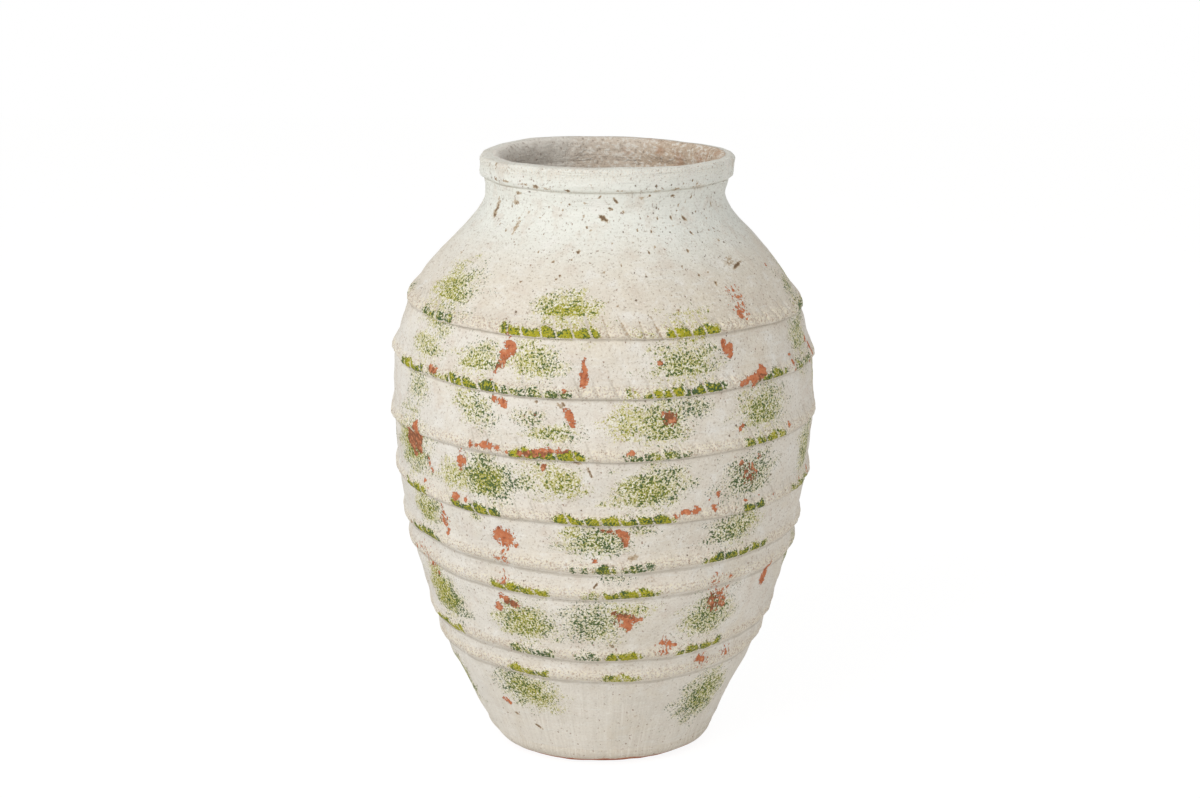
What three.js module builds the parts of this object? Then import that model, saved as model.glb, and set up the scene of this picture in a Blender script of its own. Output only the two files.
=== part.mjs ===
import * as THREE from 'three';

// A big hand-built clay jar with an open mouth, in millimetres. It stands on
// its flat foot at the origin, with +Z up and the front towards -Y.
// A potter makes it from a flat disc of clay, a wall raised in sections that
// are luted edge to edge, a neck ring, a rim coil and eight applied cordons.
// Six of the cordons cover the joints between the wall sections.

// Heights of the sections, from the foot up
const baseDiscThickness = 22;
const footSectionHeight = 110.5;
const lowerSectionHeight = 109;
const bellySectionHeight = 87.5;
const upperBellySectionHeight = 70;
const upperSectionHeight = 68;
const shoulderSectionHeight = 60;
const collarSectionHeight = 85;
const neckRingHeight = 42;
const rimCoilHeight = 26;

// Radius of the resting face, and how far each section then flares out or closes in on its way up
const restRadius = 118;
const baseDiscFlare = 17.5;
const footSectionFlare = 50.5;
const lowerSectionFlare = 33.5;
const bellySectionFlare = 16;
const upperBellySectionFlare = 4;
const upperSectionClosing = 6;
const shoulderSectionClosing = 18;
const collarSectionClosing = 71;
const neckRingClosing = 10;

// The wall turns in hardest partway up the collar, and the neck has a waist below its top edge
const collarBendRise = 43;
const collarBendClosing = 30.5;
const neckWaistBelowRim = 15;
const neckWaistTuck = 2.5;

// Wall, and the clay pressed into the corner between floor and wall
const wallThickness = 17;
const cornerSmearWidth = 14;
const cornerSmearHeight = 20;

// Rim coil: how far it stands out over the neck and in over the hollow, its rounded edges, and
// its lower edge, which is rolled over the neck
const rimOverhang = 5.5;
const rimInset = 1.3;
const rimEdgeRounding = 7;
const rimRollHeight = 6;
const rimRollOverhang = 2.5;

// Cordons: how far each stands out of the wall, numbered from the top
const cordonRelief = [4.6, 5.2, 4.6, 5.2, 4.6, 4.6, 5, 6.4];
const cordonSpreadAbove = 11;
const cordonSpreadBelow = 8.5;
const cordonEdgeThickness = 1.2;
const cordonGap = 0.3;

// The two cordons that cover no joint sit this far above the next one down
const cordonFiveLift = 31;
const cordonSevenLift = 29;

// Fineness of the turned surfaces
const facetsAround = 48;
const wallStep = 30;
const sameHeight = 0.01;
const floorEdgeSteps = 3;
const rimEdgeSteps = 2;

const limeWash = 0xdcd6ca;
const cordonWash = 0xe0dacd;
const rimWash = 0xd9d3c8;
const bareClay = 0xb9764f;

// The wall sections in the order in which they are raised
const sections = [
  { name: 'foot_section', height: footSectionHeight, widening: footSectionFlare },
  { name: 'lower_section', height: lowerSectionHeight, widening: lowerSectionFlare },
  { name: 'belly_section', height: bellySectionHeight, widening: bellySectionFlare },
  { name: 'upper_belly_section', height: upperBellySectionHeight, widening: upperBellySectionFlare },
  { name: 'upper_section', height: upperSectionHeight, widening: -upperSectionClosing },
  { name: 'shoulder_section', height: shoulderSectionHeight, widening: -shoulderSectionClosing },
  { name: 'collar_section', height: collarSectionHeight, widening: -collarSectionClosing },
  { name: 'neck_ring', height: neckRingHeight, widening: -neckRingClosing },
];

const baseDiscTopRadius = restRadius + baseDiscFlare;
let jointHeight = baseDiscThickness;
let jointRadius = baseDiscTopRadius;
for (const section of sections) {
  section.bottom = jointHeight;
  section.bottomRadius = jointRadius;
  jointHeight += section.height;
  jointRadius += section.widening;
  section.top = jointHeight;
  section.topRadius = jointRadius;
}
const rimBottom = jointHeight;
const neckTopRadius = jointRadius;
const jarHeight = rimBottom + rimCoilHeight;

// One smooth curve through the section edges gives the radius of the wall at any height.
const stations = [[baseDiscThickness, baseDiscTopRadius]];
for (const section of sections) {
  if (section.name === 'collar_section') {
    stations.push([section.bottom + collarBendRise, section.bottomRadius - collarBendClosing]);
  }
  if (section.name === 'neck_ring') {
    stations.push([section.top - neckWaistBelowRim, section.topRadius - neckWaistTuck]);
  }
  stations.push([section.top, section.topRadius]);
}

function slopeAt(index) {
  const before = stations[Math.max(index - 1, 0)];
  const here = stations[index];
  const after = stations[Math.min(index + 1, stations.length - 1)];
  const rise = index > 0 ? (here[1] - before[1]) / (here[0] - before[0]) : null;
  const next = index < stations.length - 1 ? (after[1] - here[1]) / (after[0] - here[0]) : null;
  if (rise === null) return next;
  if (next === null) return rise;
  const weightBefore = after[0] - here[0];
  const weightAfter = here[0] - before[0];
  return (rise * weightBefore + next * weightAfter) / (weightBefore + weightAfter);
}

function wallRadius(height) {
  let index = 0;
  while (index < stations.length - 2 && height > stations[index + 1][0]) index += 1;
  const [low, lowRadius] = stations[index];
  const [high, highRadius] = stations[index + 1];
  const span = high - low;
  const t = (height - low) / span;
  const t2 = t * t;
  const t3 = t2 * t;
  return (2 * t3 - 3 * t2 + 1) * lowRadius
    + (t3 - 2 * t2 + t) * span * slopeAt(index)
    + (3 * t2 - 2 * t3) * highRadius
    + (t3 - t2) * span * slopeAt(index + 1);
}

// The inside follows the outside at the wall's thickness, measured square to the wall.
function hollowRadius(height) {
  const probe = 0.5;
  const slope = (wallRadius(height + probe) - wallRadius(height - probe)) / (2 * probe);
  return wallRadius(height) - wallThickness * Math.hypot(1, slope);
}

function evenly(from, to, step) {
  const count = Math.max(1, Math.ceil(Math.abs(to - from) / step));
  return Array.from({ length: count + 1 }, (_, i) => from + ((to - from) * i) / count);
}

// Points on a quarter of a circle about (radius, height), from one angle to another
function roundedEdge(radius, height, rounding, fromAngle, toAngle, steps) {
  return evenly(fromAngle, toAngle, Math.abs(toAngle - fromAngle) / steps).map((angle) => [
    radius + rounding * Math.cos(angle),
    height + rounding * Math.sin(angle),
  ]);
}

// A piece turned about the jar's axis from [radius, height] points, outer side going up
function turned(name, profile, color) {
  const points = profile.map(([radius, height]) => new THREE.Vector2(radius, height));
  const onAxis = points[0].x === 0 && points[points.length - 1].x === 0;
  if (!onAxis) points.push(points[0].clone());
  const geometry = new THREE.LatheGeometry(points, facetsAround);
  geometry.rotateX(Math.PI / 2);
  const material = new THREE.MeshStandardMaterial({ color, roughness: 0.92, metalness: 0 });
  const mesh = new THREE.Mesh(geometry, material);
  mesh.name = name;
  return mesh;
}

// Floor slab: flat underneath, with its lower edge rubbed round
function makeBaseDisc() {
  const overhang = baseDiscTopRadius - restRadius;
  const edge = evenly(0, 1, 1 / floorEdgeSteps).map((t) => [
    restRadius + overhang * Math.sin((t * Math.PI) / 2),
    baseDiscThickness * (1 - Math.cos((t * Math.PI) / 2)),
  ]);
  return turned('base_disc', [[0, 0], ...edge, [0, baseDiscThickness]], bareClay);
}

// Cordons, numbered from the top, by the height of their crests
const topOf = (name) => sections.find((section) => section.name === name).top;
const cordons = [
  topOf('shoulder_section'),
  topOf('upper_section'),
  topOf('upper_belly_section'),
  topOf('belly_section'),
  topOf('lower_section') + cordonFiveLift,
  topOf('lower_section'),
  topOf('foot_section') + cordonSevenLift,
  topOf('foot_section'),
].map((crest, i) => ({
  name: `cordon_${i + 1}`,
  crest,
  bottom: crest - cordonSpreadBelow,
  top: crest + cordonSpreadAbove,
  relief: cordonRelief[i],
}));

// The wall is faceted at these heights: at every joint and cordon edge, and evenly between them.
// A cordon is seated on the same facets, so it lies true on the wall.
const edgeHeights = [
  baseDiscThickness,
  ...sections.map((section) => section.top),
  ...cordons.flatMap((cordon) => [cordon.bottom, cordon.top]),
].sort((a, b) => a - b).filter((z, i, all) => i === 0 || z - all[i - 1] > sameHeight);
const wallHeights = edgeHeights.flatMap((z, i) => (
  i === 0 ? [z] : evenly(edgeHeights[i - 1], z, wallStep).slice(1)));
const wallHeightsWithin = (low, high) => (
  wallHeights.filter((z) => z >= low - sameHeight && z <= high + sameHeight));

// One section of the wall. The foot section also holds the clay smeared into the corner of the floor.
function makeSection(section) {
  const outside = wallHeightsWithin(section.bottom, section.top).map((z) => [wallRadius(z), z]);
  const smearHeight = section.name === 'foot_section' ? cornerSmearHeight : 0;
  const inside = evenly(section.top, section.bottom + smearHeight, wallStep)
    .map((z) => [hollowRadius(z), z]);
  if (smearHeight > 0) inside.push([hollowRadius(section.bottom) - cornerSmearWidth, section.bottom]);
  return turned(section.name, [...outside, ...inside], limeWash);
}

// Rim: a thick coil with a flat top land, round edges and a lower edge rolled over the neck
function makeRimCoil() {
  const topCentre = jarHeight - rimEdgeRounding;
  const rimRadius = neckTopRadius + rimOverhang;
  const mouthRadius = hollowRadius(rimBottom) - rimInset;
  const outerEdge = roundedEdge(rimRadius - rimEdgeRounding, topCentre, rimEdgeRounding,
    0, Math.PI / 2, rimEdgeSteps);
  const innerEdge = roundedEdge(mouthRadius + rimEdgeRounding, topCentre, rimEdgeRounding,
    Math.PI / 2, Math.PI, rimEdgeSteps);
  return turned('rim_coil', [
    [neckTopRadius + rimRollOverhang, rimBottom],
    [rimRadius, rimBottom + rimRollHeight],
    ...outerEdge,
    ...innerEdge,
    [hollowRadius(rimBottom), rimBottom],
  ], rimWash);
}

// A cordon: a strip of clay laid around the wall, smeared down from above and steep below
function makeCordon({ name, crest, bottom, top, relief }) {
  const seat = (z) => wallRadius(z) + cordonGap;
  const outside = [
    [seat(bottom) + cordonEdgeThickness, bottom],
    [seat(crest - cordonSpreadBelow / 2) + relief, crest - cordonSpreadBelow / 2],
    [seat(crest + cordonSpreadAbove / 4) + relief, crest + cordonSpreadAbove / 4],
    [seat(top) + cordonEdgeThickness, top],
  ];
  const inside = wallHeightsWithin(bottom, top).reverse().map((z) => [seat(z), z]);
  return turned(name, [...outside, ...inside], cordonWash);
}

const jar = new THREE.Group();
jar.add(makeBaseDisc());
for (const section of sections) jar.add(makeSection(section));
jar.add(makeRimCoil());
for (const cordon of cordons) jar.add(makeCordon(cordon));

export default jar;
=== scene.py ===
import math

import bpy
import numpy as np
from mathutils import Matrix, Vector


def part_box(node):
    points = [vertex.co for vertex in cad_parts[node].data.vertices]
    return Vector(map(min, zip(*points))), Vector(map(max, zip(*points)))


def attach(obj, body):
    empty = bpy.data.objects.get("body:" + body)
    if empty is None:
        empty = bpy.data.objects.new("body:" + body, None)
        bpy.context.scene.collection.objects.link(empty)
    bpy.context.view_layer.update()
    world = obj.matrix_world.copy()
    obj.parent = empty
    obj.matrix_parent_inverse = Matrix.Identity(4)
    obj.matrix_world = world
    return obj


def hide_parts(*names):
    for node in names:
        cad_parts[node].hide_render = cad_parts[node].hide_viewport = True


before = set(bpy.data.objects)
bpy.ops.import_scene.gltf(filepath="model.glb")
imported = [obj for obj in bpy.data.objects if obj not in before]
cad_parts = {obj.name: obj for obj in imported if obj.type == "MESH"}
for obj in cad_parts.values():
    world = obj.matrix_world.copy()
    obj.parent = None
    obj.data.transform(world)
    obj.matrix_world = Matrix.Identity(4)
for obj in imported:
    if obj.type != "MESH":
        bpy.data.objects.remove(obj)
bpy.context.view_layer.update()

# The camera stands where the photograph was taken from: in front of the jar, about a metre
# above the floor, and tipped down.
camera_distance = 2.3376
camera_height = 0.9993
camera_off_axis = -0.0033
tipped_down = math.radians(14.46)
camera_data = bpy.data.cameras.new("camera")
camera_data.sensor_fit = "HORIZONTAL"
camera_data.sensor_width = 36
camera_data.lens = 63.2
camera = bpy.data.objects.new("camera", camera_data)
camera.location = (camera_off_axis, -camera_distance, camera_height)
camera.rotation_euler = (math.pi / 2 - tipped_down, 0, 0)
bpy.context.scene.collection.objects.link(camera)
bpy.context.scene.camera = camera


# Base disc: the flat slab of red clay that the jar is raised on. Its edge is rubbed round and
# limewashed with the wall; the underside and a ragged line at the floor stay bare.
full_turn = 2 * math.pi
mm = 0.001
around_wall = 960
row_height = 1.6 * mm

# The line of the wall comes from the frame: the outer points of its sections, smoothed.
section_names = ["foot_section", "lower_section", "belly_section", "upper_belly_section",
                 "upper_section", "shoulder_section", "collar_section", "neck_ring"]


def widest_by_height(name):
    """How far from the axis the points of a frame node reach, for each of their heights"""
    widest = {}
    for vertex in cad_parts[name].data.vertices:
        height = round(vertex.co.z, 5)
        widest[height] = max(widest.get(height, 0), math.hypot(vertex.co.x, vertex.co.y))
    return widest


wall_points = {}
for section_name in section_names:
    widest = widest_by_height(section_name)
    low, high = min(widest), max(widest)
    for height, radius in widest.items():
        # Points far inside the straight line between the section's edges belong to its inside
        chord = np.interp(height, [low, high], [widest[low], widest[high]])
        if radius > chord - 10 * mm:
            wall_points[height] = radius
wall_bottom = min(wall_points)
rim_bottom = max(wall_points)
# The resting circle is rubbed a little smaller than in the frame
rubbed_away = 4 * mm
disc_ring = widest_by_height("base_disc")
rest_radius = disc_ring[min(disc_ring)] - rubbed_away
heights_known = np.array(sorted(wall_points))
radii_known = np.array([wall_points[height] for height in heights_known])
slopes_known = np.gradient(radii_known, heights_known)
fine_heights = np.arange(wall_bottom, rim_bottom + 0.5 * mm, mm)


def through_points(height):
    """The radius on a smooth curve through the known points of the wall"""
    index = np.clip(np.searchsorted(heights_known, height) - 1, 0, len(heights_known) - 2)
    span = heights_known[index + 1] - heights_known[index]
    t = (height - heights_known[index]) / span
    return ((2 * t**3 - 3 * t**2 + 1) * radii_known[index]
            + (t**3 - 2 * t**2 + t) * span * slopes_known[index]
            + (3 * t**2 - 2 * t**3) * radii_known[index + 1]
            + (t**3 - t**2) * span * slopes_known[index + 1])


fine_radii = through_points(fine_heights)
fine_slopes = np.gradient(fine_radii, fine_heights)


def smooth_step(value, low, high):
    """0 below low, 1 above high and smooth between"""
    t = np.clip((value - low) / (high - low), 0, 1)
    return t * t * (3 - 2 * t)


def wall_radius(height):
    """The wall's line, which the potter drew in by a hair below the belly, and the base's edge"""
    drawn_in = 1.6 * mm * smooth_step(height, 0.1, 0.16) * (1 - smooth_step(height, 0.32, 0.42))
    wall = np.interp(height, fine_heights, fine_radii) - drawn_in
    below = np.clip((wall_bottom - height) / wall_bottom, 0, 1)
    edge_fullness = 0.8
    edge = rest_radius + (fine_radii[0] - rest_radius) * (1 - below**2) ** edge_fullness
    return np.where(height < wall_bottom, edge, wall)


def hollow_radius(height):
    """The inside of the wall, at the wall's thickness measured square to it"""
    wall_thickness = 17 * mm
    slope = np.interp(height, fine_heights, fine_slopes)
    return wall_radius(height) - wall_thickness * np.hypot(1, slope)


# The jar leans a little: its centre's way to the right (mm) at each height (mm)
lean_heights = [0, 40, 80, 180, 300, 420, 520, 600, 680]
lean_offsets = [-0.6, -2.4, -2.2, -0.9, 0, 0.2, 0.4, 1.4, 5.0]


def lean(height):
    """How far the jar's centre lies to the right at a height"""
    return mm * np.interp(height / mm, lean_heights, lean_offsets)


# A hand-built wall is never true: broad lumps, small dents and the marks of the scraper, each
# as a number of waves, their turns round the jar, their lengths up it (m) and their size (mm)
wall_dice = np.random.default_rng(31)
wall_waves = []
for count, turns, lengths, size in [
    (10, (1, 5), (0.15, 0.55), 0.42),
    (18, (5, 17), (0.05, 0.14), 0.17),
    (16, (14, 46), (0.02, 0.05), 0.07),
    (6, (0, 3), (0.012, 0.03), 0.08),
]:
    for _ in range(count):
        wall_waves.append((
            wall_dice.integers(*turns),
            full_turn / wall_dice.uniform(*lengths) * wall_dice.choice([-1, 1]),
            wall_dice.uniform(0, full_turn),
            size * mm * wall_dice.uniform(0.6, 1.4),
        ))


def unevenness(bearing, height):
    """How far the wall's surface lies out of its true line"""
    total = np.zeros(np.broadcast(bearing, height).shape)
    for turns, per_metre, start, size in wall_waves:
        total += size * np.sin(turns * bearing + per_metre * height + start)
    return total


def mesh_object(name, radius, height, weights, strips, poles=False):
    """A closed turned piece. Row by row, radius and height (m) go up the outside and back down
    the inside; weights scale the rows on the bake's map, and strips cut that map in lengths.
    With poles, the first and last rows close on the axis, as on a disc."""
    strip_fill = 0.98
    sharp_from = math.radians(50)
    rows, around = radius.shape
    bearing = np.arange(around) * full_turn / around
    x = radius * np.sin(bearing) + lean(height)
    y = -radius * np.cos(bearing)
    points = np.stack([x, y, height], axis=-1).reshape(-1, 3)
    row = np.arange(rows - 1 if poles else rows)
    i, j = np.meshgrid(row, np.arange(around), indexing="ij")
    after, beside = (i + 1) % rows, (j + 1) % around
    quads = np.stack([i * around + j, i * around + beside,
                      after * around + beside, after * around + j], axis=-1).reshape(-1, 4)
    mean_radius, mean_height = radius.mean(axis=1), height.mean(axis=1)
    step = np.hypot(np.roll(mean_radius, -1) - mean_radius, np.roll(mean_height, -1) - mean_height)
    reach = np.concatenate([[0], np.cumsum(step * weights)])
    if poles:
        reach[-1] = reach[-2]
    strip = j * strips // around
    left = j * strips / around - strip
    right = (j + 1) * strips / around - strip
    low = (strip + strip_fill * reach[i] / reach[-1]) / strips
    high = (strip + strip_fill * reach[i + 1] / reach[-1]) / strips
    map_points = np.stack([left, low, right, low, right, high, left, high], axis=-1).reshape(-1, 2)
    mesh = bpy.data.meshes.new(name)
    if poles:
        first, last = len(points), len(points) + 1
        points = np.concatenate([points, [[0, 0, height[0, 0]], [0, 0, height[-1, 0]]]])
        turn = np.arange(around)
        beside = (turn + 1) % around
        top = (rows - 1) * around
        caps = np.stack([np.full(around, first), beside, turn,
                         np.full(around, last), top + turn, top + beside], axis=-1).reshape(-1, 3)
        cap_map = np.full((len(caps) * 3, 2), 0.5)
    else:
        caps = np.zeros((0, 3), int)
        cap_map = np.zeros((0, 2))
    corners = np.concatenate([quads.ravel(), caps.ravel()])
    starts = np.concatenate([np.arange(len(quads)) * 4, len(quads) * 4 + np.arange(len(caps)) * 3])
    mesh.vertices.add(len(points))
    mesh.vertices.foreach_set("co", points.ravel())
    mesh.loops.add(len(corners))
    mesh.loops.foreach_set("vertex_index", corners)
    mesh.polygons.add(len(starts))
    mesh.polygons.foreach_set("loop_start", starts)
    bake_map = mesh.uv_layers.new(name="OFBake")
    bake_map.uv.foreach_set("vector", np.concatenate([map_points, cap_map]).ravel())
    mesh.update()
    mesh.validate()
    mesh.shade_smooth()
    mesh.set_sharp_from_angle(angle=sharp_from)
    made = bpy.data.objects.new(name, mesh)
    bpy.context.scene.collection.objects.link(made)
    return made


mark_names = ("paint", "tone", "flake", "dust", "stain", "grime", "bare", "inside", "ridge")
# The flake mark is the distance to the nearest flake in mm, and this is how far it is followed
no_flake = 20.0


def mark(piece, shape, **amounts):
    """Writes the marks of the decoration, of wear and of painted shade at each point of a piece, for its
    finish
    """
    for name in mark_names:
        amount = np.broadcast_to(amounts.get(name, no_flake if name == "flake" else 0.0), shape)
        values = np.zeros(len(piece.data.vertices))
        values[: amount.size] = amount.ravel()
        values[amount.size:] = amount[-1, 0]
        piece.data.attributes.new(name, "FLOAT", "POINT").data.foreach_set("value", values)


class Level:
    """An amount that changes over the clay. Arithmetic on it adds Math nodes."""

    def __init__(self, coat, socket):
        self.coat = coat
        self.socket = socket

    def work(self, operation, first, second):
        """A Math node of two amounts"""
        return self.coat.node("Math", {"operation": operation}, {0: first, 1: second})

    def __add__(self, other):
        return self.work("ADD", self, other)

    __radd__ = __add__

    def __sub__(self, other):
        return self.work("SUBTRACT", self, other)

    def __rsub__(self, other):
        return self.work("SUBTRACT", other, self)

    def __mul__(self, other):
        return self.work("MULTIPLY", self, other)

    __rmul__ = __mul__

    def rise(self, low, high):
        """0 below low, 1 above high and smooth between; the other way round if low is higher"""
        return self.coat.node("MapRange", {"interpolation_type": "SMOOTHSTEP"},
                              {"Value": self, "From Min": low, "From Max": high})


class Coat:
    """The nodes of one finish, in the material or world that holds them"""

    def __init__(self, holder):
        holder.use_nodes = True
        self.tree = holder.node_tree
        self.tree.nodes.clear()

    def node(self, kind, settings=None, sockets=None, give=0):
        """Adds a node with its settings and the values or links of its sockets, and gives back
        one of its outputs"""
        made = self.tree.nodes.new("ShaderNode" + kind)
        for setting, choice in (settings or {}).items():
            setattr(made, setting, choice)
        for socket, value in (sockets or {}).items():
            if isinstance(value, Level):
                self.tree.links.new(value.socket, made.inputs[socket])
            else:
                made.inputs[socket].default_value = value
        return Level(self, made.outputs[give]) if len(made.outputs) else made

    def read(self, name):
        """A mark that is written on the mesh"""
        return self.node("Attribute", {"attribute_name": name}, give="Fac")

    def noise(self, place, size, detail=2.0, roughness=0.5):
        """Noise with spots of about the given size in metres"""
        return self.node("TexNoise", {}, {"Vector": place, "Scale": 1 / size, "Detail": detail,
                                          "Roughness": roughness})

    def stretch(self, place, x, y, z):
        """The place scaled along each axis"""
        return self.node("VectorMath", {"operation": "MULTIPLY"}, {0: place, 1: (x, y, z)})

    def lay(self, under, over, amount):
        """One colour laid over another by an amount"""
        return self.node("Mix", {"data_type": "RGBA"}, {0: amount, 6: under, 7: over}, give=2)


def pigment(red, green, blue):
    """A colour as the eye sees it, from 0 to 255, turned into the light that it gives back"""
    return tuple(((c / 255 + 0.055) / 1.055) ** 2.4 for c in (red, green, blue)) + (1.0,)


def washed_clay(name, wash, cream, rough):
    """Old limewash over red clay: mottled, streaked and specked, with green sponged paint on it,
    flakes where both have come off down to the clay, and bare clay inside and underneath. wash
    is its main colour and cream that of its crumbs; rough lets its roughness vary."""
    material = bpy.data.materials.new(name)
    coat = Coat(material)
    place = coat.node("TexCoord", give="Object")
    height = coat.node("SeparateXYZ", {}, {"Vector": place}, give="Z")
    side = coat.node("SeparateXYZ", {}, {"Vector": place}, give="X")
    paint, tone = coat.read("paint"), coat.read("tone")
    flake, dust, stain = coat.read("flake"), coat.read("dust"), coat.read("stain")
    grime, bare, inside, ridge = (coat.read(kind) for kind in ("grime", "bare", "inside", "ridge"))

    # The wash: warm white, clouded, with a thin blotchy second coat and faint brush marks. It is
    # whiter and cooler on the neck and warmer on the shoulder, with painted light to the left and painted
    # shade to the right.
    broad = coat.noise(place, 0.11, 3)
    blotch = coat.noise(place, 0.024, 4, 0.6)
    fine = coat.noise(place, 0.0026, 3, 0.7)
    brushed = coat.noise(coat.stretch(place, 1, 1, 9), 0.03, 3, 0.6)
    colour = coat.lay(pigment(*wash), pigment(*(c - 15 for c in wash)), broad.rise(0.42, 0.7) * 0.5)
    upper = (height + broad * 0.05).rise(0.575, 0.65)
    colour = coat.lay(colour, pigment(240, 243, 236), upper * 0.8)
    # Painted light: whiter towards the left edge, the side the key lamp lights
    colour = coat.lay(colour, pigment(240, 240, 236), side.rise(-0.03, -0.2) * (1.0 - upper) * 0.3)
    shoulder = (height + broad * 0.06).rise(0.51, 0.58) * (1.0 - upper)
    colour = coat.lay(colour, pigment(224, 212, 190), shoulder * 0.34)
    # Painted shade: darker towards the right side, away from the key lamp
    shade_to_right = side.rise(0.0, 0.1) * side.rise(0.21, 0.15) * height.rise(0.22, 0.3) * (1.0 - upper)
    colour = coat.lay(colour, pigment(208, 198, 178), shade_to_right * 0.2)
    foot = (height + (broad - 0.5) * 0.12).rise(0.15, 0.09)
    cloudy = 1.0 - foot * 0.6
    colour = coat.lay(colour, pigment(214, 198, 182), blotch.rise(0.5, 0.7) * cloudy * 0.38)
    colour = coat.lay(colour, pigment(242, 240, 234), blotch.rise(0.47, 0.3) * cloudy * 0.6)
    colour = coat.lay(colour, pigment(242, 241, 235), brushed.rise(0.55, 0.7) * 0.4)
    colour = coat.lay(colour, pigment(160, 144, 126), fine.rise(0.54, 0.72) * cloudy * 0.66)
    colour = coat.lay(colour, pigment(250, 247, 240), fine.rise(0.44, 0.28) * 0.7)
    # Below the neck the wash has yellowed in soft clouds
    yellowed = coat.noise(place, 0.06, 4, 0.65).rise(0.5, 0.66) * (1.0 - upper)
    colour = coat.lay(colour, pigment(226, 212, 184), yellowed * 0.16)
    # Crumbs of cream and pink lime on the cordons and round the dabs
    crumb = coat.noise(place, 0.0021, 2, 0.6)
    crumbly = ridge + paint.rise(0.0, 0.3) * 0.5
    colour = coat.lay(colour, pigment(*cream), crumbly * crumb.rise(0.5, 0.6) * 0.9)
    colour = coat.lay(colour, pigment(190, 166, 142), crumbly * crumb.rise(0.48, 0.36) * 0.8)

    # Faint grey streaks run down the foot, laid by the way round the jar so that they follow the
    # wall down, and painted grey shade lies under the cordons and the lip and in the rope grooves
    way_round = coat.node("VectorMath", {"operation": "NORMALIZE"}, {0: coat.stretch(place, 1, 1, 0)})
    drawn_out = coat.stretch(place, 0, 0, 0.35)
    downward = coat.node("VectorMath", {"operation": "ADD"}, {0: way_round, 1: drawn_out})
    drips = coat.noise(downward, 0.019, 3, 0.6)
    colour = coat.lay(colour, pigment(198, 193, 181), drips.rise(0.52, 0.68) * foot * 0.2)
    colour = coat.lay(colour, pigment(245, 241, 232), drips.rise(0.5, 0.36) * foot * (blotch - 0.1) * 0.9)
    # Painted grey shade, in patches, where the shade mark is laid
    patchy_shade = grime * (0.25 + blotch * 1.5)
    colour = coat.lay(colour, pigment(190, 182, 168), patchy_shade.rise(0.3, 1.1) * 0.62)

    # Brown stain, darker in the gouges, and small dark pits where grit has burnt or fallen out
    ragged = coat.noise(place, 0.0026, 3, 0.6)
    ragged_stain = (stain + (blotch - 0.5) * 0.8 + (ragged - 0.5) * 2.2).rise(0.4, 0.95)
    colour = coat.lay(colour, pigment(174, 146, 108), ragged_stain * 0.75)
    hole = (stain + (ragged - 0.5) * 2.4).rise(0.95, 1.35)
    colour = coat.lay(colour, pigment(112, 88, 62), hole * 0.85)
    grit = coat.node("TexVoronoi", {"feature": "F1"}, {"Vector": place, "Scale": 75.0, "Randomness": 1.0})
    few = coat.noise(place, 0.05, 2)
    pit_size = few * 0.26 + height * 0.1 - 0.135 + (fine - 0.5) * 0.14
    dots = (pit_size - grit).rise(-0.02, 0.015)
    colour = coat.lay(colour, pigment(122, 100, 76), dots * 0.85)
    speckle = coat.noise(coat.stretch(place, 1, 1, 0.8), 0.0032, 2, 0.55)
    crumbs = (speckle + few * 0.1 + upper * 0.012).rise(0.735, 0.775)
    colour = coat.lay(colour, pigment(150, 112, 84), crumbs * 0.75)

    # Green paint dabbed on with a sponge: a thin yellow film with the wash's own grains showing
    # through, and grains of paint on it, darkest where they lie thick
    film = (coat.noise(place, 0.0034, 2, 0.7) - (0.66 - paint * 0.36)).rise(-0.03, 0.03)
    film = film * paint.rise(0.02, 0.2)
    colour = coat.lay(colour, pigment(190, 184, 66), film * (1.0 - tone * 0.7) * 0.62)
    bald = coat.noise(place, 0.0019, 1)
    bald = (bald - 0.51 - (0.7 - paint) * 0.2).rise(0, 0.04) * paint.rise(0, 0.2) * paint.rise(1.1, 0.8)
    colour = coat.lay(colour, pigment(246, 243, 228), bald * 0.85)
    clump = coat.noise(place, 0.008, 2)
    grain = coat.noise(place, 0.0023, 2, 0.7) + clump * 0.1
    excess = grain - (0.732 - paint * 0.25 - tone * 0.035)
    painted = excess.rise(-0.012, 0.012) * paint.rise(0.01, 0.05)
    thin_paint = coat.node("Math", {"operation": "MINIMUM"}, {0: paint, 1: 0.62})
    hue = (grain + thin_paint * 0.24 - 0.735) * 1.8 + (tone - 0.2) * 0.24 + (clump - 0.5) * 0.34
    green = coat.lay(pigment(172, 166, 20), pigment(124, 134, 22), hue.rise(0, 0.05))
    green = coat.lay(green, pigment(50, 82, 34), hue.rise(0.05, 0.16))
    colour = coat.lay(colour, green, painted * 0.93)

    # Flakes and specks where the wash is gone, down to the red clay
    coarse_tatter = (coat.noise(place, 0.0055, 2, 0.6) - 0.5) * 9
    fine_tatter = (coat.noise(place, 0.002, 2, 0.6) - 0.5) * 6.5
    lost = (flake + (coarse_tatter + fine_tatter) - 0.7).rise(0.3, -0.3)
    specks = coat.noise(coat.stretch(place, 1.3, 1.3, 0.9), 0.0036, 2, 0.6)
    scattered = (specks + dust * 0.34).rise(0.81, 0.85) * dust.rise(0.02, 0.1)
    clay_spots = coat.noise(place, 0.005, 3, 0.6)
    clay = coat.lay(pigment(200, 122, 84), pigment(216, 154, 116), clay_spots.rise(0.52, 0.7))
    clay = coat.lay(clay, pigment(160, 92, 64), clay_spots.rise(0.46, 0.32))
    clay = coat.lay(clay, pigment(132, 88, 62), paint.rise(0.2, 0.5) * clay_spots.rise(0.62, 0.45) * 0.85)
    gone = coat.node("Math", {"operation": "MAXIMUM"}, {0: lost, 1: scattered})
    colour = coat.lay(colour, clay, gone)

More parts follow.
